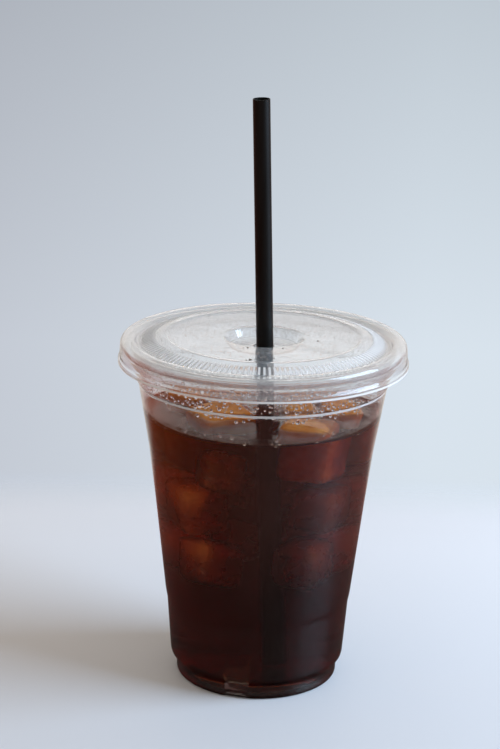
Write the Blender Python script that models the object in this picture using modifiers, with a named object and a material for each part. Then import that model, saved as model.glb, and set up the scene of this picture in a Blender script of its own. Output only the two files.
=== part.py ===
# Cold brew coffee over ice in a clear takeaway cup, with a flat lid and a black straw.
# Metres, +Z up. The origin is on the table under the middle of the cup, and the viewer stands at -Y.

import math

import bmesh
import bpy
from mathutils import Matrix, Vector

MM = 0.001
SIDES = 48                  # sides of a full turn on the cup, the lid and the coffee

# Cup, a pressed sheet. The points are its outer face, as (radius, height) in millimetres.
CUP_SHEET = 0.6
PUNT_HEIGHT = 4.0           # the middle of the base stands this high over the table
PUNT_RADIUS = 17.5
HEEL_INNER = 22.0           # flat ring that stands on the table
HEEL_OUTER = 27.8
FOOT_RADIUS = 29.1          # the foot ring, set in under the shoulder
WALL = [                    # from the shoulder over the foot up to the rim
    (31.0, 7.3),
    (31.3, 8.5),
    (32.8, 28.5),
    (33.35, 31.0),          # small stacking step
    (37.4, 66.5),           # from here the wall opens out a little more
    (39.9, 86.0),
    (43.8, 109.2),
    (44.4, 110.2),          # ring line under the lid
    (45.5, 117.6),
    (45.8, 121.4),
]
CURL_CENTRE = (47.4, 122.1)  # the rolled rim
CURL_RADIUS = 1.4
CURL_STEPS = 5
CURL_FROM, CURL_TO = -50, 190  # degrees

# Lid, from the middle of its well out over the crown and down the skirt, as (radius, height).
LID_SHEET = 0.5
LID_TOP = [
    (0.0, 122.0),
    (12.0, 122.0),          # floor of the well that holds the straw slot
    (14.0, 125.5),
    (33.2, 125.5),          # panel
    (34.0, 126.3),          # raised edge round the panel
    (35.2, 126.3),
    (38.0, 125.5),          # ribbed slope down to the groove
    (43.6, 123.4),
    (44.3, 123.4),          # groove
    (45.4, 124.8),
    (47.2, 125.3),          # crown
    (49.2, 124.9),
    (50.2, 123.7),
    (50.5, 119.0),
    (51.0, 118.0),          # bead at the skirt's lower edge
    (51.0, 116.6),
]

# Straw
STRAW_RADIUS = 3.0
STRAW_SHEET = 0.3
STRAW_SIDES = 24
STRAW_THROUGH = (0.4, 0.0, 122.0)   # where it passes the floor of the lid's well
STRAW_FORWARD = 1.5                 # degrees that its top leans towards the viewer
STRAW_LEFT = 2.1                    # degrees that its top leans to the viewer's left
STRAW_BOTTOM = 5.1                  # height of the middle of its lower end
STRAW_TOP = 209.2

# Coffee and ice
LEVEL = 98.0
GAP = 0.3                   # clearance between pieces that touch
ICE_ROUND = 2.6             # rounding of an ice cube's edges
# Floating cubes: middle x and y, height of the top over the coffee, sides, then turn about Z, X and Y.
ICE = [
    ((-14.2, -5.2), 2.4, (20.0, 20.0, 19.0), (26, 4, -5)),
    ((15.6, -17.4), 1.8, (18.5, 18.5, 18.5), (-12, -6, 5)),
    ((27.6, 3.4), 2.6, (14.0, 16.5, 17.5), (8, 2, 6)),
    ((15.2, 23.6), 3.2, (17.0, 15.5, 18.5), (-34, -4, 3)),
    ((-5.6, 26.6), 2.6, (16.0, 15.5, 17.5), (14, -5, -3)),
    ((-24.8, 16.2), 3.0, (16.0, 15.5, 18.0), (-30, -3, -5)),
    ((13.0, 3.4), 2.0, (12.5, 12.5, 15.0), (4, 5, 2)),
]


def clear_scene():
    for obj in list(bpy.data.objects):
        bpy.data.objects.remove(obj, do_unlink=True)


def collection(name):
    made = bpy.data.collections.new(name)
    bpy.context.scene.collection.children.link(made)
    return made


def material(name, colour, roughness, transmission=0.0, ior=1.5):
    made = bpy.data.materials.new(name)
    made.use_nodes = True
    shader = made.node_tree.nodes["Principled BSDF"]
    shader.inputs["Base Color"].default_value = (*colour, 1.0)
    shader.inputs["Roughness"].default_value = roughness
    shader.inputs["Metallic"].default_value = 0.0
    shader.inputs["Transmission Weight"].default_value = transmission
    shader.inputs["IOR"].default_value = ior
    return made


def add_object(name, mesh, group, finish):
    obj = bpy.data.objects.new(name, mesh)
    group.objects.link(obj)
    if finish:
        obj.data.materials.append(finish)
    return obj


def turned(name, profile, group, finish, sides=SIDES, sheet=0.0):
    """A shape turned about Z from (radius, height) points that run down its outer face."""
    mesh = bpy.data.meshes.new(name)
    points = [(radius * MM, 0.0, height * MM) for radius, height in profile]
    mesh.from_pydata(points, [(i, i + 1) for i in range(len(points) - 1)], [])
    obj = add_object(name, mesh, group, finish)
    screw = obj.modifiers.new("Turn", "SCREW")
    screw.steps = screw.render_steps = sides
    screw.use_merge_vertices = True
    screw.merge_threshold = 0.00001
    screw.use_smooth_shade = True
    if sheet:
        solidify = obj.modifiers.new("Sheet", "SOLIDIFY")
        solidify.thickness = sheet * MM
        solidify.offset = -1.0
        solidify.use_even_offset = True
    return obj


def offset(profile, distance):
    """The (radius, height) points moved this far to the inner side of a profile that runs down its outer face."""
    moved = []
    for i, (radius, height) in enumerate(profile):
        directions = []
        if i > 0:
            directions.append(Vector((radius, height)) - Vector(profile[i - 1]))
        if i < len(profile) - 1:
            directions.append(Vector(profile[i + 1]) - Vector((radius, height)))
        inward = [Vector((d.y, -d.x)).normalized() for d in directions]
        mean = sum(inward, Vector((0.0, 0.0))) / len(inward)
        step = mean * distance / mean.length_squared
        moved.append((radius + step.x if radius > 0 else 0.0, height + step.y))
    return moved


def cup_profile():
    """The cup's outer face, from the tip of the rolled rim down the wall and over the foot to the middle."""
    curl = []
    for i in range(CURL_STEPS + 1):
        angle = math.radians(CURL_FROM + (CURL_TO - CURL_FROM) * i / CURL_STEPS)
        curl.append((CURL_CENTRE[0] + CURL_RADIUS * math.cos(angle), CURL_CENTRE[1] + CURL_RADIUS * math.sin(angle)))
    return curl + WALL[::-1] + base_profile()


def base_profile():
    """The foot, the flat heel ring and the raised middle."""
    return [
        (FOOT_RADIUS - 0.3, 5.3),
        (FOOT_RADIUS - 0.3, 3.4),
        (FOOT_RADIUS, 1.2),
        (FOOT_RADIUS - 0.3, 0.35),
        (HEEL_OUTER, 0.0),
        (HEEL_INNER, 0.0),
        (PUNT_RADIUS + 2.0, PUNT_HEIGHT - 1.0),
        (PUNT_RADIUS, PUNT_HEIGHT),
        (0.0, PUNT_HEIGHT),
    ]


def coffee_profile():
    """The drink: its level surface, then the cup's inner face less a clearance."""
    inner = offset(WALL[::-1] + base_profile(), CUP_SHEET + GAP)
    above = [point for point in inner if point[1] > LEVEL][-1]
    below = [point for point in inner if point[1] <= LEVEL]
    share = (LEVEL - below[0][1]) / (above[1] - below[0][1])
    edge = below[0][0] + share * (above[0] - below[0][0])
    return [(0.0, LEVEL), (edge, LEVEL)] + below


def straw_axis():
    """The straw's direction, upwards, as a unit vector."""
    left = -math.tan(math.radians(STRAW_LEFT))
    forward = -math.tan(math.radians(STRAW_FORWARD))
    return Vector((left, forward, 1.0)).normalized()


def place_on_straw(obj, height):
    """Stands an object on the straw's axis, with its own origin at this height."""
    axis = straw_axis()
    through = Vector(STRAW_THROUGH)
    foot = through + axis * (height - through.z) / axis.z
    turn = axis.to_track_quat("Z", "Y").to_matrix().to_4x4()
    obj.matrix_world = Matrix.Translation(foot * MM) @ turn


def straw_length():
    return (STRAW_TOP - STRAW_BOTTOM) / straw_axis().z


def make_straw(group, finish):
    profile = [(STRAW_RADIUS, straw_length()), (STRAW_RADIUS, 0.0)]
    straw = turned("straw", profile, group, finish, sides=STRAW_SIDES, sheet=STRAW_SHEET)
    place_on_straw(straw, STRAW_BOTTOM)
    return straw


def make_straw_cutter(group):
    """A rod a little wider and deeper than the straw, which clears its way through the lid and the drink."""
    radius = STRAW_RADIUS + GAP
    length = straw_length()
    profile = [(0.0, length), (radius, length), (radius, -GAP), (0.0, -GAP)]
    cutter = turned("straw_cutter", profile, group, None, sides=STRAW_SIDES)
    place_on_straw(cutter, STRAW_BOTTOM)
    return cutter


def ice_cube(name, row, group, finish, grown=0.0):
    """A cube with rounded edges, a little narrower below, floating at its place."""
    (x, y), above, sides, turns = row
    mesh = bpy.data.meshes.new(name)
    shape = bmesh.new()
    bmesh.ops.create_cube(shape, size=1.0)
    for corner in shape.verts:
        taper = 1.0 if corner.co.z > 0 else 0.93
        full = [(side + 2 * grown) * MM for side in sides]
        corner.co = Vector((corner.co.x * full[0] * taper, corner.co.y * full[1] * taper, corner.co.z * full[2]))
    shape.to_mesh(mesh)
    shape.free()
    obj = add_object(name, mesh, group, finish)
    turn_z, turn_x, turn_y = (math.radians(turn) for turn in turns)
    obj.rotation_euler = (turn_x, turn_y, turn_z)
    obj.location = (x * MM, y * MM, (LEVEL + above - sides[2] / 2) * MM)
    bevel = obj.modifiers.new("Melted edges", "BEVEL")
    bevel.width = (ICE_ROUND + grown) * MM
    bevel.segments = 2
    bevel.limit_method = "NONE"
    return obj


def cut(obj, cutters):
    """Takes every object of a collection away from this one."""
    boolean = obj.modifiers.new("Clearance", "BOOLEAN")
    boolean.operation = "DIFFERENCE"
    boolean.operand_type = "COLLECTION"
    boolean.collection = cutters
    boolean.solver = "EXACT"


def hide_cutters(*groups):
    for group in groups:
        for obj in group.objects:
            obj.hide_render = True
            obj.display_type = "WIRE"


def main():
    clear_scene()
    parts = collection("cold_brew_coffee")
    lid_cutters = collection("lid_cutters")
    coffee_cutters = collection("coffee_cutters")

    clear_plastic = material("clear_cup_plastic", (0.93, 0.94, 0.94), 0.06, transmission=1.0, ior=1.57)
    lid_plastic = material("clear_lid_plastic", (0.90, 0.91, 0.91), 0.16, transmission=0.9, ior=1.5)
    black_plastic = material("black_straw_plastic", (0.010, 0.010, 0.009), 0.38)
    coffee = material("coffee", (0.055, 0.012, 0.004), 0.08, ior=1.34)
    ice = material("ice", (0.80, 0.66, 0.50), 0.10, transmission=0.8, ior=1.31)

    turned("cup", cup_profile(), parts, clear_plastic, sheet=CUP_SHEET)
    lid = turned("lid", LID_TOP, parts, lid_plastic, sheet=LID_SHEET)
    make_straw(parts, black_plastic)
    drink = turned("coffee", coffee_profile(), parts, coffee)
    for i, row in enumerate(ICE, start=1):
        ice_cube(f"ice_{i:02d}", row, parts, ice)
        ice_cube(f"ice_cutter_{i:02d}", row, coffee_cutters, None, grown=GAP)

    rod = make_straw_cutter(lid_cutters)
    coffee_cutters.objects.link(rod)
    cut(lid, lid_cutters)
    cut(drink, coffee_cutters)
    hide_cutters(lid_cutters, coffee_cutters)


main()
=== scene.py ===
import math
import random

import bpy
import numpy as np
from mathutils import Matrix, Vector


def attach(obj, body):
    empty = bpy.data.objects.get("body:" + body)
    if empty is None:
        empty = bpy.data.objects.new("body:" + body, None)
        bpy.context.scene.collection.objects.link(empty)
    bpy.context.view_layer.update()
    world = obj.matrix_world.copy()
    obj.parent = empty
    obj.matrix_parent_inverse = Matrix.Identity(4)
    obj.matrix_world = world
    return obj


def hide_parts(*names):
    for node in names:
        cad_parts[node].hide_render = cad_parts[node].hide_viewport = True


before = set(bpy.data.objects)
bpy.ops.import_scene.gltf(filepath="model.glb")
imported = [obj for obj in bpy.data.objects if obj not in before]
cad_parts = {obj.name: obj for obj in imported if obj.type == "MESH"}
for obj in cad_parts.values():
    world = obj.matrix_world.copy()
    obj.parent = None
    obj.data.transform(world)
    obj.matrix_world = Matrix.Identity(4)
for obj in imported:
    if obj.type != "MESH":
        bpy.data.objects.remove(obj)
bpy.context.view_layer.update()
mm = 0.001
random.seed(11)
print("frame loaded")


# Small tools for working by hand in a script

def deselectAll():
    bpy.ops.object.select_all(action="DESELECT")


def pick(*objects):
    deselectAll()
    for obj in objects:
        obj.select_set(True)
    bpy.context.view_layer.objects.active = objects[0]


def startEdit(obj, mode="VERT"):
    pick(obj)
    bpy.ops.object.mode_set(mode="EDIT")
    bpy.ops.mesh.select_mode(type=mode)
    bpy.ops.mesh.select_all(action="DESELECT")


def endEdit():
    bpy.ops.object.mode_set(mode="OBJECT")


def selectPoints(obj, wanted):
    # selects the vertices for which wanted(point) is true, and goes back to edit mode
    bpy.ops.object.mode_set(mode="OBJECT")
    for vertex in obj.data.vertices:
        vertex.select = wanted(vertex.co)
    bpy.ops.object.mode_set(mode="EDIT")


def applyPlace(obj):
    pick(obj)
    bpy.ops.object.transform_apply(location=True, rotation=True, scale=True)


def applyModifiers(obj):
    pick(obj)
    for modifier in list(obj.modifiers):
        bpy.ops.object.modifier_apply(modifier=modifier.name)


def outwards(obj):
    startEdit(obj)
    bpy.ops.mesh.select_all(action="SELECT")
    bpy.ops.mesh.remove_doubles(threshold=0.000001)
    bpy.ops.mesh.normals_make_consistent(inside=False)
    endEdit()


def faceUpwards(obj, up):
    # an open shell is turned over where most of it faces against the way that up(point) gives
    outwards(obj)
    total = sum(face.area * face.normal.dot(up(face.center)) for face in obj.data.polygons)
    if total < 0:
        startEdit(obj)
        bpy.ops.mesh.select_all(action="SELECT")
        bpy.ops.mesh.flip_normals()
        endEdit()


def smooth(obj, degrees):
    pick(obj)
    bpy.ops.object.shade_smooth_by_angle(angle=math.radians(degrees))


def roundCorners(profile, reach, steps=4):
    # each inner corner of a profile becomes a short curve that starts and ends this far from it
    rounded = [profile[0]]
    for before, corner, after in zip(profile, profile[1:], profile[2:]):
        before, corner, after = Vector(before), Vector(corner), Vector(after)
        cut = min(reach, 0.45 * (before - corner).length, 0.45 * (after - corner).length)
        start = corner + (before - corner).normalized() * cut
        end = corner + (after - corner).normalized() * cut
        for i in range(steps + 1):
            t = i / steps
            rounded.append(tuple(start.lerp(corner, t).lerp(corner.lerp(end, t), t)))
    return rounded + [profile[-1]]


def shifted(profile, distance):
    # the profile moved this far towards its left side, which is inwards on one that runs down
    moved = []
    for i, (radius, height) in enumerate(profile):
        here = Vector((radius, height))
        ways = []
        if i > 0:
            ways.append((here - Vector(profile[i - 1])).normalized())
        if i < len(profile) - 1:
            ways.append((Vector(profile[i + 1]) - here).normalized())
        side = sum((Vector((way.y, -way.x)) for way in ways), Vector((0, 0))) / len(ways)
        moved.append(tuple(here + side * distance / side.length_squared))
    return moved


def radiusAt(profile, height):
    # the radius of a profile that runs down, where it passes this height
    for (ra, za), (rb, zb) in zip(profile, profile[1:]):
        if zb <= height <= za and za > zb:
            return ra + (rb - ra) * (za - height) / (za - zb)
    return profile[-1][0]


def turned(name, profile, sides, fillStart=False, fillEnd=False):
    # a ring is extruded down its profile, and each new ring is scaled to its radius
    deselectAll()
    radius, height = profile[0]
    bpy.ops.mesh.primitive_circle_add(vertices=sides, radius=radius * mm, location=(0, 0, height * mm))
    obj = bpy.context.object
    obj.name = name
    obj.data.name = name
    applyPlace(obj)
    startEdit(obj)
    bpy.ops.mesh.select_all(action="SELECT")
    if fillStart:
        bpy.ops.mesh.edge_face_add()
    for (ra, za), (rb, zb) in zip(profile, profile[1:]):
        bpy.ops.mesh.extrude_edges_move(TRANSFORM_OT_translate={"value": (0, 0, (zb - za) * mm)})
        bpy.ops.transform.resize(value=(rb / ra, rb / ra, 1), center_override=(0, 0, zb * mm))
    if fillEnd:
        bpy.ops.mesh.edge_face_add()
    endEdit()
    return obj


def finishPiece(obj, material, nodes=()):
    obj.data.materials.clear()
    obj.data.materials.append(material)
    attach(obj, "root")
    if nodes:
        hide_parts(*nodes)


# Materials

def newMaterial(name):
    material = bpy.data.materials.new(name)
    material.use_nodes = True
    nodes = material.node_tree.nodes
    return material, nodes, material.node_tree.links, nodes["Principled BSDF"]


def noiseOn(nodes, links, scale, detail=3.0, stretch=(1, 1, 1)):
    place = nodes.new("ShaderNodeTexCoord")
    mapping = nodes.new("ShaderNodeMapping")
    mapping.inputs["Scale"].default_value = stretch
    noise = nodes.new("ShaderNodeTexNoise")
    noise.inputs["Scale"].default_value = scale
    noise.inputs["Detail"].default_value = detail
    links.new(place.outputs["Object"], mapping.inputs["Vector"])
    links.new(mapping.outputs["Vector"], noise.inputs["Vector"])
    return noise


def rangeOf(nodes, links, source, low, high, fromLow=0.3, fromHigh=0.7):
    span = nodes.new("ShaderNodeMapRange")
    span.inputs["From Min"].default_value = fromLow
    span.inputs["From Max"].default_value = fromHigh
    span.inputs["To Min"].default_value = low
    span.inputs["To Max"].default_value = high
    links.new(source, span.inputs["Value"])
    return span.outputs["Result"]


def colourBetween(nodes, links, source, low, high, fromLow, fromHigh, smoothly=False):
    span = nodes.new("ShaderNodeMapRange")
    span.interpolation_type = "SMOOTHSTEP" if smoothly else "LINEAR"
    span.inputs["From Min"].default_value = fromLow
    span.inputs["From Max"].default_value = fromHigh
    links.new(source, span.inputs["Value"])
    mix = nodes.new("ShaderNodeMix")
    mix.data_type = "RGBA"
    for name, colour in (("A", low), ("B", high)):
        if isinstance(colour, tuple):
            mix.inputs[name].default_value = (*colour, 1)
        else:
            links.new(colour, mix.inputs[name])
    links.new(span.outputs["Result"], mix.inputs["Factor"])
    return mix.outputs["Result"]


def calc(nodes, links, operation, *values):
    step = nodes.new("ShaderNodeMath")
    step.operation = operation
    for i, value in enumerate(values):
        if isinstance(value, (int, float)):
            step.inputs[i].default_value = value
        else:
            links.new(value, step.inputs[i])
    return step.outputs[0]


def objectAxes(nodes, links):
    place = nodes.new("ShaderNodeTexCoord")
    split = nodes.new("ShaderNodeSeparateXYZ")
    links.new(place.outputs["Object"], split.inputs["Vector"])
    return split.outputs["X"], split.outputs["Y"], split.outputs["Z"]


def reflectedRay(nodes, links):
    # true once a ray has been reflected anywhere
    path = nodes.new("ShaderNodeLightPath")
    return calc(nodes, links, "GREATER_THAN", path.outputs["Glossy Depth"], 0.5)


def bumpFrom(nodes, links, source, distance):
    bump = nodes.new("ShaderNodeBump")
    bump.inputs["Distance"].default_value = distance
    bump.inputs["Strength"].default_value = 1
    links.new(source, bump.inputs["Height"])
    return bump.outputs["Normal"]


def radialRibs(nodes, links, axes, ribs):
    # one on each rib of a ring between two radii, and nought elsewhere
    inner, outer, fade = ribs["inner"], ribs["outer"], ribs["fade"]
    across, away, _ = axes
    turn = calc(nodes, links, "ARCTAN2", away, across)
    wave = calc(nodes, links, "SINE", calc(nodes, links, "MULTIPLY", turn, ribs["count"]))
    squares = [calc(nodes, links, "MULTIPLY", axis, axis) for axis in (across, away)]
    radius = calc(nodes, links, "SQRT", calc(nodes, links, "ADD", *squares))
    started = rangeOf(nodes, links, radius, 0, 1, (inner - fade) * mm, (inner + fade) * mm)
    ended = rangeOf(nodes, links, radius, 1, 0, (outer - fade) * mm, (outer + fade) * mm)
    ring = calc(nodes, links, "MULTIPLY", started, ended)
    return calc(nodes, links, "MULTIPLY", rangeOf(nodes, links, wave, 0, 1, -0.3, 0.6), ring)


def clearPlastic(name, look):
    # a clear sheet that is fogged between two heights, with painted highlights as whiter lines along its
    # creases and ribs
    material, nodes, links, shader = newMaterial(name)
    shader.inputs["Base Color"].default_value = (*look["colour"], 1)
    shader.inputs["IOR"].default_value = look["ior"]
    axes = objectAxes(nodes, links)
    fog = noiseOn(nodes, links, 210, 4)
    height = rangeOf(nodes, links, axes[2], 0, 1, look["fogFrom"] * mm, look["fogTo"] * mm)
    amount = calc(nodes, links, "MULTIPLY", height, rangeOf(nodes, links, fog.outputs["Fac"], 0.6, 1.4))
    clear = rangeOf(nodes, links, amount, look["clearBelow"], look["clearAbove"], 0, 1)
    # painted highlight: a whiter line along the crease height, as if the crease caught the light
    crease = calc(nodes, links, "COMPARE", axes[2], look["creaseHeight"] * mm, look["creaseReach"] * mm)
    paintedCreaseHighlight = calc(nodes, links, "MULTIPLY", crease, look["creaseHighlight"])
    clear = calc(nodes, links, "SUBTRACT", clear, paintedCreaseHighlight)
    smudges = noiseOn(nodes, links, 90, 4, (1, 1, 0.35))
    dullness = rangeOf(nodes, links, smudges.outputs["Fac"], *look["rough"])
    ribs = look.get("ribs")
    if ribs:
        rib = radialRibs(nodes, links, axes, ribs)
        # painted highlights: each rib is made whiter where its edges would catch the light
        clear = calc(nodes, links, "SUBTRACT", clear, calc(nodes, links, "MULTIPLY", rib, ribs["ribHighlight"]))
        dullness = calc(nodes, links, "ADD", dullness, calc(nodes, links, "MULTIPLY", rib, ribs["rough"]))
    links.new(clear, shader.inputs["Transmission Weight"])
    links.new(dullness, shader.inputs["Roughness"])
    waves = noiseOn(nodes, links, 140, 2, (1, 1, 0.25))
    links.new(bumpFrom(nodes, links, waves.outputs["Fac"], look["waviness"]), shader.inputs["Normal"])
    return material


def strawPlastic():
    material, nodes, links, shader = newMaterial("satinBlackPlastic")
    fine = noiseOn(nodes, links, 420, 3, (1, 1, 0.05))      # faint lengthwise drawing marks
    ramp = nodes.new("ShaderNodeValToRGB")
    ramp.color_ramp.elements[0].position = 0.35
    ramp.color_ramp.elements[0].color = (0.0020, 0.0023, 0.0020, 1)
    ramp.color_ramp.elements[1].position = 0.7
    ramp.color_ramp.elements[1].color = (0.0035, 0.0036, 0.0032, 1)
    links.new(fine.outputs["Fac"], ramp.inputs["Fac"])
    links.new(ramp.outputs["Color"], shader.inputs["Base Color"])
    shader.inputs["Specular IOR Level"].default_value = 0.14
    links.new(rangeOf(nodes, links, fine.outputs["Fac"], 0.34, 0.46), shader.inputs["Roughness"])
    links.new(bumpFrom(nodes, links, fine.outputs["Fac"], 0.00004), shader.inputs["Normal"])
    return material


def coffeeLiquid():
    material, nodes, links, shader = newMaterial("coffeeLiquid")
    shader.inputs["Base Color"].default_value = (1, 1, 1, 1)
    shader.inputs["Transmission Weight"].default_value = 1
    shader.inputs["IOR"].default_value = 1.34
    film = noiseOn(nodes, links, 45, 3)             # finest bubbles and oils on the surface
    links.new(rangeOf(nodes, links, film.outputs["Fac"], 0.06, 0.18), shader.inputs["Roughness"])
    absorb = nodes.new("ShaderNodeVolumeAbsorption")
    absorb.inputs["Color"].default_value = (0.785, 0.42, 0.04, 1)
    absorb.inputs["Density"].default_value = 320
    links.new(absorb.outputs["Volume"], nodes["Material Output"].inputs["Volume"])
    ripple = noiseOn(nodes, links, 60, 2)
    links.new(bumpFrom(nodes, links, ripple.outputs["Fac"], 0.0002), shader.inputs["Normal"])
    return material


def clearIce(name, look):
    # ice with fine cracks and bubbles, so that a part of the light stays in it, and coffee drawn into it;
    # its colour also holds a painted glow of light that has come through the drink
    material, nodes, links, shader = newMaterial(name)
    shader.inputs["IOR"].default_value = look["ior"]
    shader.inputs["Specular IOR Level"].default_value = look["shine"]
    cloud = noiseOn(nodes, links, 130, 5)
    ramp = nodes.new("ShaderNodeValToRGB")
    ramp.color_ramp.elements[0].position = 0.4
    ramp.color_ramp.elements[0].color = (*look["stainAndGlow"], 1)
    ramp.color_ramp.elements[1].position = 0.75
    ramp.color_ramp.elements[1].color = (*look["cloudAndGlow"], 1)
    links.new(cloud.outputs["Fac"], ramp.inputs["Fac"])
    links.new(ramp.outputs["Color"], shader.inputs["Base Color"])
    clear = rangeOf(nodes, links, cloud.outputs["Fac"], *look["clearness"])
    links.new(clear, shader.inputs["Transmission Weight"])
    links.new(rangeOf(nodes, links, cloud.outputs["Fac"], *look["rough"]), shader.inputs["Roughness"])
    links.new(bumpFrom(nodes, links, cloud.outputs["Fac"], 0.0005), shader.inputs["Normal"])
    return material


def waterDrop():
    material, nodes, links, shader = newMaterial("waterDrop")
    shader.inputs["Base Color"].default_value = (1, 1, 1, 1)
    shader.inputs["Transmission Weight"].default_value = 1
    shader.inputs["IOR"].default_value = 1.33
    mist = noiseOn(nodes, links, 800, 1)
    links.new(rangeOf(nodes, links, mist.outputs["Fac"], 0.0, 0.04), shader.inputs["Roughness"])
    return material


def driedCoffee():
    material, nodes, links, shader = newMaterial("driedCoffee")
    shader.inputs["Base Color"].default_value = (0.07, 0.04, 0.02, 1)
    patches = noiseOn(nodes, links, 900, 2)
    links.new(rangeOf(nodes, links, patches.outputs["Fac"], 0.15, 0.5), shader.inputs["Roughness"])
    return material


cupLook = {
    "colour": (0.985, 0.98, 0.97),
    "ior": 1.57,
    "rough": (0.0, 0.03),
    "waviness": 0.00006,
    "clearBelow": 1.0,              # share of light let through below the fogged heights
    "clearAbove": 0.88,             # and above them
    "fogFrom": 113,
    "fogTo": 119,
    "creaseHeight": 109.7,
    "creaseReach": 0.5,
    # painted highlight along the ring line
    "creaseHighlight": 0.45,
}

lidLook = {
    "colour": (0.985, 0.98, 0.965),
    "ior": 1.5,
    "rough": (0.02, 0.08),
    "waviness": 0.0001,
    "clearBelow": 0.95,
    "clearAbove": 0.90,
    "fogFrom": 119,
    "fogTo": 126,
    "creaseHeight": 116.9,
    "creaseReach": 0.4,
    # painted highlight along the bead
    "creaseHighlight": 0.5,
    # the ribs are painted whiter as highlights; their added roughness is real
    "ribs": {"count": 144, "inner": 38.2, "outer": 43.3, "fade": 0.2, "ribHighlight": 0.45, "rough": 0.3},
}

floatingIceLook = {
    "ior": 1.31,
    "shine": 0.12,
    "stainAndGlow": (1.0, 0.29, 0.03),   # colour where coffee has soaked in, deepened to a painted orange glow of light through the drink
    "cloudAndGlow": (1.0, 0.47, 0.13),    # and where the ice is cloudy, painted orange as the same glow
    "clearness": (0.30, 0.0),
    "rough": (0.10, 0.30),
}

sunkIceLook = {
    "ior": 1.335,
    "shine": 0.5,
    "stainAndGlow": (1.0, 0.93, 0.80),
    "cloudAndGlow": (1.0, 0.90, 0.75),
    "clearness": (1.0, 0.97),
    "rough": (0.20, 0.35),
}

cupPlastic = clearPlastic("clearCupPlastic", cupLook)
lidPlastic = clearPlastic("clearLidPlastic", lidLook)
blackPlastic = strawPlastic()
coffeeFinish = coffeeLiquid()
iceFinish = clearIce("meltingIce", floatingIceLook)
sunkIceFinish = clearIce("sunkIce", sunkIceLook)
waterFinish = waterDrop()
stainFinish = driedCoffee()
print("materials ready")


# Cup: a pressed clear sheet with a rolled rim, a ring line, a small stacking step and a raised middle below

cup = {
    "sides": 192,
    "sheet": 0.5,
    "curlCentre": (47.4, 122.1),
    "curlRadius": 1.4,
    "curlFrom": -50,
    "curlTo": 190,
    "wall": [(45.8, 121.4), (45.5, 117.6), (44.4, 110.2), (43.8, 109.2), (39.9, 86.0), (37.4, 66.5),
             (33.35, 31.0), (32.8, 28.5), (31.3, 8.5), (31.0, 7.3)],
    "foot": [(28.8, 5.3), (28.8, 3.4), (29.1, 1.2), (28.8, 0.35), (27.8, 0.0), (22.0, 0.0)],
    "punt": [(19.5, 3.0), (17.5, 4.0), (3.0, 4.0)],
    "rounding": 0.8,
    "ventMiddle": -104,         # degrees round from +X, where the foot has a shallow vent
    "ventHalfWidth": 9,
    "ventHeight": 0.8,
    "ventRadius": 24,           # it starts here and rises outwards
    "ventRise": 3,
    "ventSteepness": 2.5,       # how quickly it rises from its two ends
    "ventReach": 1.2,           # nothing above this height moves
}


def cupProfile():
    curl = []
    for i in range(13):
        angle = math.radians(cup["curlFrom"] + (cup["curlTo"] - cup["curlFrom"]) * i / 12)
        curl.append((cup["curlCentre"][0] + cup["curlRadius"] * math.cos(angle),
                     cup["curlCentre"][1] + cup["curlRadius"] * math.sin(angle)))
    rest = roundCorners([curl[-1]] + cup["wall"] + cup["foot"] + cup["punt"], cup["rounding"])
    return curl[:-1] + rest


def makeCup():
    profile = cupProfile()
    obj = turned("cupShell", profile, cup["sides"], fillEnd=True)
    faceUpwards(obj, lambda point: Vector((point.x, point.y, 0)))
    for vertex in obj.data.vertices:                # the vent lifts a short stretch of the foot's edge
        around = math.degrees(math.atan2(vertex.co.y, vertex.co.x)) - cup["ventMiddle"]
        radius = math.hypot(vertex.co.x, vertex.co.y) / mm
        low = vertex.co.z < cup["ventReach"] * mm
        if abs(around) < cup["ventHalfWidth"] and low and radius > cup["ventRadius"]:
            share = min(1, cup["ventSteepness"] * (1 - abs(around) / cup["ventHalfWidth"]))
            rise = min(1, (radius - cup["ventRadius"]) / cup["ventRise"])
            vertex.co.z += share * cup["ventHeight"] * mm * rise
    sheet = obj.modifiers.new("Sheet", "SOLIDIFY")
    sheet.thickness = cup["sheet"] * mm
    sheet.offset = -1
    sheet.use_even_offset = True
    applyModifiers(obj)
    smooth(obj, 60)
    finishPiece(obj, cupPlastic, ["cup"])


makeCup()
print("cup made")


# Lid: a thin clear sheet, ribbed on its slope and on its skirt, with a well in the middle

panelTop = 125.5                # height of the lid's flat panel

lid = {
    "sides": 288,               # two to a rib
    "sheet": 0.4,
    "middle": [(3.7, 122.0), (12.0, 122.0), (14.0, panelTop), (33.2, panelTop), (34.0, 126.3), (35.2, 126.3),
               (37.4, 125.6)],
    "slope": [(38.0, 125.45), (39.9, 124.75), (41.8, 124.05), (43.2, 123.5)],
    "edge": [(43.9, 123.35), (44.5, 123.5), (45.4, 124.8), (47.2, 125.3), (49.2, 124.9), (50.2, 123.7),
             (50.35, 121.6)],
    "skirt": [(50.4, 121.2), (50.45, 119.6), (50.5, 119.2)],
    "bead": [(50.6, 118.6), (51.0, 118.0), (51.0, 116.6)],
    "rounding": 0.8,
    "ribHeight": 0.45,
    "ribDepth": 0.16,
}


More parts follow.
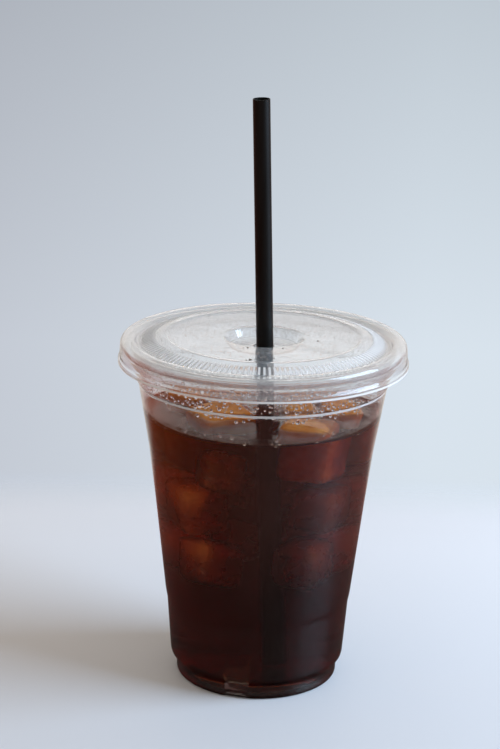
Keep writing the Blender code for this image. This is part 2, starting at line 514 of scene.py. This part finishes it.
def makeLid():
    middle = roundCorners(lid["middle"] + lid["slope"][:1], lid["rounding"])[:-1]
    edge = roundCorners(lid["slope"][-1:] + lid["edge"] + lid["skirt"][:1], lid["rounding"])[1:-1]
    bead = roundCorners(lid["skirt"][-1:] + lid["bead"], lid["rounding"])[1:]
    obj = turned("lidShell", middle + lid["slope"] + edge + lid["skirt"] + bead, lid["sides"])
    faceUpwards(obj, lambda point: Vector((0, 0, 1)))
    slopeIn, slopeOut = lid["slope"][0][0], lid["slope"][-1][0]
    skirtTop, skirtLow = lid["skirt"][0][1], lid["skirt"][-1][1]

    def everySecond(point):
        return round(math.atan2(point.y, point.x) / (2 * math.pi) * lid["sides"]) % 2 == 1

    def onSlope(point):
        radius = math.hypot(point.x, point.y) / mm
        if not (slopeIn < radius - 0.2 and radius + 0.2 < slopeOut and everySecond(point)):
            return False
        share = (radius - slopeIn) / (slopeOut - slopeIn)
        upper = lid["slope"][0][1] + (lid["slope"][-1][1] - lid["slope"][0][1]) * share
        return point.z / mm > upper - lid["sheet"] / 2

    def onSkirt(point):
        outer = math.hypot(point.x, point.y) / mm > lid["skirt"][0][0] - lid["sheet"] / 2
        return skirtLow - 0.1 < point.z / mm < skirtTop + 0.1 and outer and everySecond(point)

    sheet = obj.modifiers.new("Sheet", "SOLIDIFY")
    sheet.thickness = lid["sheet"] * mm
    sheet.offset = -1
    sheet.use_even_offset = True
    applyModifiers(obj)
    startEdit(obj)
    selectPoints(obj, onSlope)
    bpy.ops.transform.translate(value=(0, 0, lid["ribHeight"] * mm))
    selectPoints(obj, onSkirt)
    share = 1 - lid["ribDepth"] / lid["skirt"][0][0]
    bpy.ops.transform.resize(value=(share, share, 1), center_override=(0, 0, 0))
    endEdit()
    smooth(obj, 60)
    finishPiece(obj, lidPlastic, ["lid"])


makeLid()
print("lid made")


# Straw: a thin black tube with plainly cut ends, through the middle of the lid

straw = {
    "sides": 64,
    "radius": 3.0,
    "sheet": 0.3,
    "lip": 0.08,                # small flat edge where it is cut off
    "through": (0.4, 0, 122),   # where it passes the lid
    "forward": 1.5,             # degrees that the top leans to the viewer
    "left": 2.1,                # and to the viewer's left
    "bottom": 5.1,
    "top": 209.2,
}


def strawAxis():
    left = -math.tan(math.radians(straw["left"]))
    forward = -math.tan(math.radians(straw["forward"]))
    return Vector((left, forward, 1)).normalized()


def strawPoint(height):
    axis = strawAxis()
    return Vector(straw["through"]) + axis * (height - straw["through"][2]) / axis.z


def onStraw(obj, height):
    # stands an object, made upright on the origin, on the straw's axis
    turn = strawAxis().to_track_quat("Z", "Y").to_matrix().to_4x4()
    obj.data.transform(Matrix.Translation(strawPoint(height) * mm) @ turn)


def strawLength():
    return (straw["top"] - straw["bottom"]) / strawAxis().z


def makeStraw():
    length = strawLength()
    outer, inner, lip = straw["radius"], straw["radius"] - straw["sheet"], straw["lip"]
    profile = [(inner, length / 2), (inner, length - lip), (inner + lip, length), (outer - lip, length),
               (outer, length - lip), (outer, lip), (outer - lip, 0), (inner + lip, 0), (inner, lip),
               (inner, length / 2)]
    obj = turned("strawTube", profile, straw["sides"])
    outwards(obj)
    onStraw(obj, straw["bottom"])
    smooth(obj, 30)
    finishPiece(obj, blackPlastic, ["straw"])


makeStraw()
print("straw made")


# Ice: melted cubes, the first ones floating where the frame has them, the others sunk under them

ice = {
    "level": 98.0,
    "rounding": 3.2,
    "sunkRounding": 4.0,
    "melt": 0.25,
    "overlap": 0.06,            # the cubes reach this far into the drink round them
    "floating": [
        ((-14.2, -5.2), 2.4, (20.0, 20.0, 19.0), (26, 4, -5)),
        ((15.6, -17.4), 1.8, (18.5, 18.5, 18.5), (-12, -6, 5)),
        ((27.6, 3.4), 2.6, (14.0, 16.5, 17.5), (8, 2, 6)),
        ((15.2, 23.6), 3.2, (17.0, 15.5, 18.5), (-34, -4, 3)),
        ((-5.6, 26.6), 2.6, (16.0, 15.5, 17.5), (14, -5, -3)),
        ((-24.8, 16.2), 3.0, (16.0, 15.5, 18.0), (-30, -3, -5)),
        ((13.0, 3.4), 2.0, (12.5, 12.5, 15.0), (4, 5, 2)),
    ],
    "sunk": [                   # middle, sides, turns
        ((-12.5, -25.5, 85.5), (15, 13, 15), (12, -8, 12)),
        ((-19.5, -15.0, 69.5), (18, 18, 18), (16, 8, -6)),
        ((-21.5, 5.5, 70.5), (17, 18, 17), (-10, -5, 8)),
        ((-11.5, 23.0, 70.0), (17, 17, 17), (22, 6, 5)),
        ((18.5, -15.5, 70.5), (17, 17, 16), (-18, 6, 9)),
        ((23.5, 5.0, 69.0), (16, 17, 17), (12, -7, 5)),
        ((11.0, 22.5, 70.5), (17, 17, 17), (-15, 8, -5)),
        ((-15.0, -16.5, 49.0), (18, 17, 17), (28, -9, 10)),
        ((-20.0, 4.0, 50.0), (17, 17, 17), (-8, 10, -6)),
        ((-9.0, 21.5, 49.5), (17, 17, 17), (18, -8, 6)),
        ((14.0, -17.5, 50.0), (17, 16, 17), (-24, 10, 8)),
        ((20.5, 3.0, 49.5), (17, 17, 17), (14, -6, -8)),
        ((10.5, 20.5, 50.0), (16, 16, 17), (-26, 5, 8)),
    ],
}


def iceCube(name, middle, sides, turns, seed, rounding):
    deselectAll()
    bpy.ops.mesh.primitive_cube_add(size=1, location=(0, 0, 0))
    obj = bpy.context.object
    obj.name = name
    obj.data.name = name
    obj.scale = [side * mm for side in sides]
    applyPlace(obj)
    startEdit(obj)
    bpy.ops.mesh.select_all(action="SELECT")
    bpy.ops.mesh.bevel(offset=rounding * mm, segments=3, affect="EDGES")
    bpy.ops.mesh.select_all(action="SELECT")
    bpy.ops.mesh.subdivide(number_cuts=2)
    bpy.ops.transform.vertex_random(offset=ice["melt"] * mm, uniform=0.3, normal=0.8, seed=seed)
    endEdit()
    rounder = obj.modifiers.new("Melted", "SUBSURF")
    rounder.levels = 1
    rounder.render_levels = 1
    applyModifiers(obj)
    turnZ, turnX, turnY = (math.radians(turn) for turn in turns)
    obj.rotation_euler = (turnX, turnY, turnZ)
    obj.location = Vector(middle) * mm
    applyPlace(obj)
    smooth(obj, 80)
    return obj


def makeIce():
    cubes = []
    for i, ((x, y), above, sides, turns) in enumerate(ice["floating"], start=1):
        middle = (x, y, ice["level"] + above - sides[2] / 2)
        cubes.append(iceCube(f"floatingIce{i:02d}", middle, sides, turns, i, ice["rounding"]))
    for i, (middle, sides, turns) in enumerate(ice["sunk"], start=1):
        cubes.append(iceCube(f"sunkIce{i:02d}", middle, sides, turns, 40 + i, ice["sunkRounding"]))
    return cubes


iceCubes = makeIce()
print("ice made:", len(iceCubes), "cubes")


# Coffee: a clear dark body up to its level, which climbs a little at the wall, the straw and the ice

coffee = {
    "sides": 192,
    "reach": 0.15,              # it reaches this far into the cup's wall
    "climb": 3.6,               # height of the thin film that it leaves on the wall
    "climbWidth": 0.9,
    "smallClimb": 1.1,          # the same at the straw and the ice
    "smallWidth": 1.1,
    "strawReach": 0.1,          # it reaches this far into the straw's wall
    "ringStep": 1.3,
    "edgeGaps": (5, 4.2, 3.5, 2.9, 2.4, 2.0, 1.7, 1.4, 1.15, 0.9, 0.7, 0.5, 0.35, 0.2, 0.1),
}


def edgeRise(gap, height, width):
    return height * math.exp(-max(gap, 0) / width)


def cubeGap(point, row):
    # how far a point of the surface is from a floating cube, in millimetres
    (x, y), _, sides, (turn, _, _) = row
    angle = -math.radians(turn)
    dx, dy = point.x / mm - x, point.y / mm - y
    across = abs(dx * math.cos(angle) - dy * math.sin(angle)) - sides[0] / 2
    along = abs(dx * math.sin(angle) + dy * math.cos(angle)) - sides[1] / 2
    return math.hypot(max(across, 0), max(along, 0))


def makeCoffee():
    body = roundCorners(cup["wall"] + cup["foot"] + cup["punt"], cup["rounding"])
    inner = shifted(body, cup["sheet"] - coffee["reach"])
    top = ice["level"] + coffee["climb"]
    edge = radiusAt(inner, top)
    side = [(edge, top)] + [point for point in inner if point[1] < top - 0.4]
    surface = []
    radius = 2.0
    while radius < edge - coffee["edgeGaps"][0]:
        surface.append((radius, ice["level"]))
        radius += coffee["ringStep"]
    for gap in coffee["edgeGaps"]:
        surface.append((edge - gap, ice["level"]))
    obj = turned("coffeeBody", surface + side, coffee["sides"], fillStart=True, fillEnd=True)
    for vertex in obj.data.vertices:
        point = vertex.co
        if abs(point.z - ice["level"] * mm) > 0.01 * mm or math.hypot(point.x, point.y) > (edge - 0.05) * mm:
            continue
        fromWall = edge - math.hypot(point.x, point.y) / mm
        middle = strawPoint(ice["level"]).xy * mm
        fromStraw = (Vector((point.x, point.y)) - middle).length / mm - straw["radius"]
        small = max([edgeRise(fromStraw, coffee["smallClimb"], coffee["smallWidth"])]
                    + [edgeRise(cubeGap(point, row), coffee["smallClimb"], coffee["smallWidth"])
                       for row in ice["floating"]])
        vertex.co.z += (edgeRise(fromWall, coffee["climb"], coffee["climbWidth"]) + small) * mm
    outwards(obj)
    return obj


def shrunkCopy(obj, name, distance):
    copy = obj.copy()
    copy.data = obj.data.copy()
    copy.name = name
    bpy.context.scene.collection.objects.link(copy)
    inwards = [-vertex.normal.copy() for vertex in copy.data.vertices]
    for vertex, way in zip(copy.data.vertices, inwards):
        vertex.co += way * distance * mm
    return copy


def cutCoffee(body):
    cutters = [shrunkCopy(cube, f"cutter{i}", ice["overlap"]) for i, cube in enumerate(iceCubes)]
    radius = straw["radius"] - coffee["strawReach"]
    rodEnds = [(radius, strawLength()), (radius, coffee["strawReach"])]
    rod = turned("strawRod", rodEnds, straw["sides"], fillStart=True, fillEnd=True)
    outwards(rod)
    onStraw(rod, straw["bottom"])
    for cutter in cutters + [rod]:
        cut = body.modifiers.new("Cut", "BOOLEAN")
        cut.operation = "DIFFERENCE"
        cut.object = cutter
        cut.solver = "MANIFOLD"
        applyModifiers(body)
        bpy.data.objects.remove(cutter, do_unlink=True)
    smooth(body, 35)


coffeeBody = makeCoffee()
cutCoffee(coffeeBody)
finishPiece(coffeeBody, coffeeFinish, ["coffee"])
for i, cube in enumerate(iceCubes, start=1):
    floating = i <= len(ice["floating"])
    if floating:
        finishPiece(cube, iceFinish, [f"ice_{i:02d}"])
    else:
        finishPiece(cube, sunkIceFinish)
print("coffee made")


# Droplets: condensation under the lid and on the wall above the drink, and a few dried spots on the lid

drops = {
    "sides": 8,
    "rings": 6,
    "flatness": 0.55,           # height of a drop as a share of its radius
    "tries": 3,                 # random places tried for each drop that is asked for
    "wallCount": 1500,
    "wallLow": 107.0,
    "wallHigh": 121.0,
    "wallSizes": [0.3, 0.35, 0.45, 0.55, 0.7],
    "panelCount": 500,
    "panelInner": 14.5,
    "panelOuter": 29,
    "panelSizes": [0.2, 0.25, 0.3, 0.4],
    "beadCount": 60,
    "stains": [                 # place on the lid's panel and radius
        ((-5.5, -15.2), 0.35), ((-7.0, -15.6), 0.25), ((6.6, -14.8), 0.3), ((-4.4, -30.2), 0.6),
        ((-5.8, -30.6), 0.35), ((18.8, -4.4), 0.35), ((-2.2, -28.6), 0.25), ((3.6, -27.4), 0.3),
        ((1.4, -29.8), 0.25),
    ],
}


def dropShape():
    # one flattened half ball, a little sunk into what it sits on, as points and faces
    deselectAll()
    bpy.ops.mesh.primitive_uv_sphere_add(segments=drops["sides"], ring_count=drops["rings"], radius=1)
    obj = bpy.context.object
    startEdit(obj)
    bpy.ops.mesh.select_all(action="SELECT")
    bpy.ops.mesh.bisect(plane_co=(0, 0, -0.25), plane_no=(0, 0, 1), use_fill=True, clear_inner=True)
    bpy.ops.mesh.select_all(action="SELECT")
    bpy.ops.transform.resize(value=(1, 1, drops["flatness"]), center_override=(0, 0, 0))
    endEdit()
    points = np.array([vertex.co[:] for vertex in obj.data.vertices])
    faces = [tuple(face.vertices) for face in obj.data.polygons]
    bpy.data.objects.remove(obj, do_unlink=True)
    return points, faces


dropPoints, dropFaces = dropShape()


def scatterDrops(name, spots, material=waterFinish):
    # spots are (place, outward direction, radius) in millimetres
    points, faces = [], []
    for place, direction, radius in spots:
        turn = np.array(Vector(direction).to_track_quat("Z", "Y").to_matrix())
        base = len(points) * len(dropPoints)
        points.append((dropPoints * radius) @ turn.T + np.array(place))
        faces += [tuple(index + base for index in face) for face in dropFaces]
    mesh = bpy.data.meshes.new(name)
    mesh.from_pydata((np.concatenate(points) * mm).tolist(), [], faces)
    obj = bpy.data.objects.new(name, mesh)
    bpy.context.scene.collection.objects.link(obj)
    outwards(obj)
    smooth(obj, 80)
    finishPiece(obj, material)


def spreadOut(count, chooseSpot):
    # random spots that don't run into each other, as many as asked for if there is room
    spots = []
    for _ in range(count * drops["tries"]):
        if len(spots) >= count:
            break
        place, direction, radius = chooseSpot()
        if all((Vector(place) - Vector(other)).length > 0.95 * (radius + size) for other, _, size in spots):
            spots.append((place, direction, radius))
    return spots


innerWall = shifted(roundCorners(cup["wall"], cup["rounding"]), cup["sheet"])


def wallPlace(angle, height):
    wall = radiusAt(innerWall, height)
    return wall * math.cos(angle), wall * math.sin(angle), height


def wallDrops():
    def onWall():
        angle = random.uniform(0, 2 * math.pi)
        share = random.random() ** 0.6
        height = drops["wallLow"] + (drops["wallHigh"] - drops["wallLow"]) * share
        radius = random.choice(drops["wallSizes"]) * random.uniform(0.8, 1.3)
        return wallPlace(angle, height), (-math.cos(angle), -math.sin(angle), 0.05), radius

    scatterDrops("wallDroplets", spreadOut(drops["wallCount"], onWall))


def panelDrops():
    def underPanel():
        angle = random.uniform(0, 2 * math.pi)
        distance = math.sqrt(random.uniform(drops["panelInner"] ** 2, drops["panelOuter"] ** 2))
        radius = random.choice(drops["panelSizes"]) * random.uniform(0.8, 1.3)
        place = (distance * math.cos(angle), distance * math.sin(angle), panelTop - lid["sheet"])
        return place, (0, 0, -1), radius

    scatterDrops("lidDroplets", spreadOut(drops["panelCount"], underPanel))


def edgeBeads():
    spots = []
    for _ in range(drops["beadCount"]):
        angle = random.uniform(0, 2 * math.pi)
        height = ice["level"] + coffee["climb"] * random.uniform(0.2, 1.1)
        inwards = (-math.cos(angle), -math.sin(angle), 0)
        spots.append((wallPlace(angle, height), inwards, random.uniform(0.25, 0.55)))
    scatterDrops("edgeBubbles", spots)


def lidStains():
    spots = [((*place, panelTop), (0, 0, 1), radius) for place, radius in drops["stains"]]
    scatterDrops("coffeeStains", spots, stainFinish)


wallDrops()
panelDrops()
edgeBeads()
lidStains()
print("droplets made")


# Floor: a pale table top that fades into the background some way round the cup, with painted shade towards
# the viewer and its own painted colours in reflections

floor = {
    "size": 1.2,
    "height": -0.00005,                     # a hair under the cup's foot
    "colour": (0.80, 0.82, 0.85),
    "rough": 0.55,
    "shine": 0.2,
    "paintedReflectionLeft": (0.24, 0.05, 0.02),     # painted reflection: its colour in gloss towards -X, a painted dark shadow
    "paintedReflectionRight": (0.20, 0.08, 0.065),   # and towards +X, a lighter painted reflection of a brightly lit table
    "paintedReflectionSpan": (-0.15, 0.05),          # where the one turns into the other
    "paintedReflectionNear": 0.3,                    # painted shade: close to the cup the painted reflection is darkened to this share
    "nearSpan": (0.08, 0.14),               # how far from the cup that ends
    "frontShade": 0.86,                     # painted shade: the table is this much darker towards the viewer, where the window's light falls off
    "frontSpan": (-0.06, 0.12),
    "squareness": 6,                        # shape of the fading edge: 2 is round, more is squarer
    "fadeFrom": 0.150,
    "fadeTo": 0.215,
}


def makeFloor():
    deselectAll()
    bpy.ops.mesh.primitive_plane_add(size=floor["size"], location=(0, 0, floor["height"]))
    obj = bpy.context.object
    obj.name = "tableTop"
    material, nodes, links, shader = newMaterial("tableTop")
    shader.inputs["Roughness"].default_value = floor["rough"]
    shader.inputs["Specular IOR Level"].default_value = floor["shine"]
    across, away, _ = objectAxes(nodes, links)
    sizes = [calc(nodes, links, "ABSOLUTE", axis) for axis in (across, away)]
    powers = [calc(nodes, links, "POWER", size, floor["squareness"]) for size in sizes]
    reach = calc(nodes, links, "POWER", calc(nodes, links, "ADD", *powers), 1 / floor["squareness"])
    # painted reflection: gloss rays see the table in painted colours for its shadowed and lit parts, darker
    # near the cup
    paintedReflectionColours = (floor["paintedReflectionLeft"], floor["paintedReflectionRight"], *floor["paintedReflectionSpan"])
    far = colourBetween(nodes, links, across, *paintedReflectionColours)
    mirror = nodes.new("ShaderNodeVectorMath")
    mirror.operation = "SCALE"
    links.new(far, mirror.inputs[0])
    shown = rangeOf(nodes, links, reach, floor["paintedReflectionNear"], 1, *floor["nearSpan"])
    links.new(shown, mirror.inputs["Scale"])
    inGloss = reflectedRay(nodes, links)
    colour = colourBetween(nodes, links, inGloss, floor["colour"], mirror.outputs[0], 0, 1)
    shaded = nodes.new("ShaderNodeVectorMath")
    shaded.operation = "SCALE"
    links.new(colour, shaded.inputs[0])
    # painted shade: the table's colour is darkened towards the viewer
    shade = rangeOf(nodes, links, away, floor["frontShade"], 1, *floor["frontSpan"])
    links.new(shade, shaded.inputs["Scale"])
    links.new(shaded.outputs[0], shader.inputs["Base Color"])
    fade = nodes.new("ShaderNodeMapRange")
    fade.interpolation_type = "SMOOTHSTEP"
    fade.inputs["From Min"].default_value = floor["fadeFrom"]
    fade.inputs["From Max"].default_value = floor["fadeTo"]
    links.new(reach, fade.inputs["Value"])
    clear = nodes.new("ShaderNodeBsdfTransparent")
    mix = nodes.new("ShaderNodeMixShader")
    links.new(fade.outputs["Result"], mix.inputs["Fac"])
    links.new(shader.outputs["BSDF"], mix.inputs[1])
    links.new(clear.outputs["BSDF"], mix.inputs[2])
    links.new(mix.outputs["Shader"], nodes["Material Output"].inputs["Surface"])
    obj.data.materials.append(material)


makeFloor()
print("floor made")


# Room: a pale background, a large soft window on the right, and dim warm sides that show only in gloss

room = {
    "left": (0.558, 0.597, 0.665),      # background colour towards -X
    "right": (0.690, 0.768, 0.845),     # and towards +X
    "acrossSpan": (-0.13, 0.08),
    "top": 0.76,                        # how much darker the background is higher up
    "topSpan": (-0.27, -0.10),
    "ambient": (0.54, 0.47, 0.41),      # light that the room gives
    "leftGloss": (0.38, 0.07, 0.02),    # what gloss sees at the viewer's left,
    "rightGloss": (0.32, 0.17, 0.16),   # at the viewer's right,
    "sideSpan": (-0.6, 0.7),
    "backGloss": (0.66, 0.60, 0.56),    # straight away from the viewer
    "backSpan": (0.65, 0.95),
    "highGloss": (1.0, 0.97, 0.95),     # and overhead
    "highSpan": (-0.15, 0.15),
}

window = {
    "place": (0.85, -0.16, 0.42),
    "aim": (0, 0, 0.05),
    "size": (0.7, 0.6),
    "power": 15.5,
    "colour": (0.59, 0.77, 1.0),
}


def makeRoom():
    world = bpy.data.worlds.new("paleRoom")
    bpy.context.scene.world = world
    world.use_nodes = True
    nodes, links = world.node_tree.nodes, world.node_tree.links
    place = nodes.new("ShaderNodeTexCoord")
    split = nodes.new("ShaderNodeSeparateXYZ")
    links.new(place.outputs["Generated"], split.inputs["Vector"])
    across, away, up = (split.outputs[axis] for axis in "XYZ")

    wall = colourBetween(nodes, links, across, room["left"], room["right"], *room["acrossSpan"])
    shade = colourBetween(nodes, links, up, (1.0, 1.0, 1.0), (room["top"],) * 3, *room["topSpan"])
    seen = nodes.new("ShaderNodeMix")
    seen.data_type = "RGBA"
    seen.blend_type = "MULTIPLY"
    seen.inputs["Factor"].default_value = 1
    links.new(wall, seen.inputs["A"])
    links.new(shade, seen.inputs["B"])

    sides = colourBetween(nodes, links, across, room["leftGloss"], room["rightGloss"], *room["sideSpan"])
    low = colourBetween(nodes, links, away, sides, room["backGloss"], *room["backSpan"], smoothly=True)
    gloss = colourBetween(nodes, links, up, low, room["highGloss"], *room["highSpan"], smoothly=True)

    colour = colourBetween(nodes, links, reflectedRay(nodes, links), seen.outputs["Result"], gloss, 0, 1)
    path = nodes.new("ShaderNodeLightPath")
    light = colourBetween(nodes, links, path.outputs["Is Diffuse Ray"], colour, room["ambient"], 0, 1)
    links.new(light, nodes["Background"].inputs["Color"])


def makeWindow():
    light = bpy.data.lights.new("window", "AREA")
    light.shape = "RECTANGLE"
    light.size, light.size_y = window["size"]
    light.energy = window["power"]
    light.color = window["colour"]
    obj = bpy.data.objects.new("window", light)
    bpy.context.scene.collection.objects.link(obj)
    obj.location = window["place"]
    aim = Vector(window["aim"]) - Vector(window["place"])
    obj.rotation_euler = aim.to_track_quat("-Z", "Y").to_euler()
    obj.visible_camera = False
    obj.visible_transmission = False


makeRoom()
makeWindow()
print("light made")


# Camera: where the photograph was taken from

view = {
    "distance": 0.68428,
    "height": 0.31459,
    "pitch": 0.2886,            # radians down
    "yaw": -0.0067,
    "roll": 0.0228,
    "focalPixels": 2027.55,
    "pixelsHigh": 749,
}


def makeCamera():
    data = bpy.data.cameras.new("camera")
    data.sensor_width = 36
    data.lens = data.sensor_width * view["focalPixels"] / view["pixelsHigh"]
    data.clip_start = 0.01
    data.clip_end = 20
    obj = bpy.data.objects.new("camera", data)
    bpy.context.scene.collection.objects.link(obj)
    pitch, yaw, roll = view["pitch"], view["yaw"], view["roll"]
    ahead = Vector((math.sin(yaw) * math.cos(pitch), math.cos(yaw) * math.cos(pitch), -math.sin(pitch)))
    level = Vector((math.cos(yaw), -math.sin(yaw), 0))
    up = level.cross(ahead)
    right = level * math.cos(roll) + up * math.sin(roll)
    above = up * math.cos(roll) - level * math.sin(roll)
    turn = Matrix((right, above, -ahead)).transposed().to_4x4()
    obj.matrix_world = Matrix.Translation((0, -view["distance"], view["height"])) @ turn
    bpy.context.scene.camera = obj


makeCamera()
scene = bpy.context.scene
scene.view_settings.view_transform = "Standard"
scene.cycles.max_bounces = 32
scene.cycles.transmission_bounces = 32
scene.cycles.glossy_bounces = 12
scene.cycles.transparent_max_bounces = 16
scene.cycles.use_denoising = True
print("camera set")
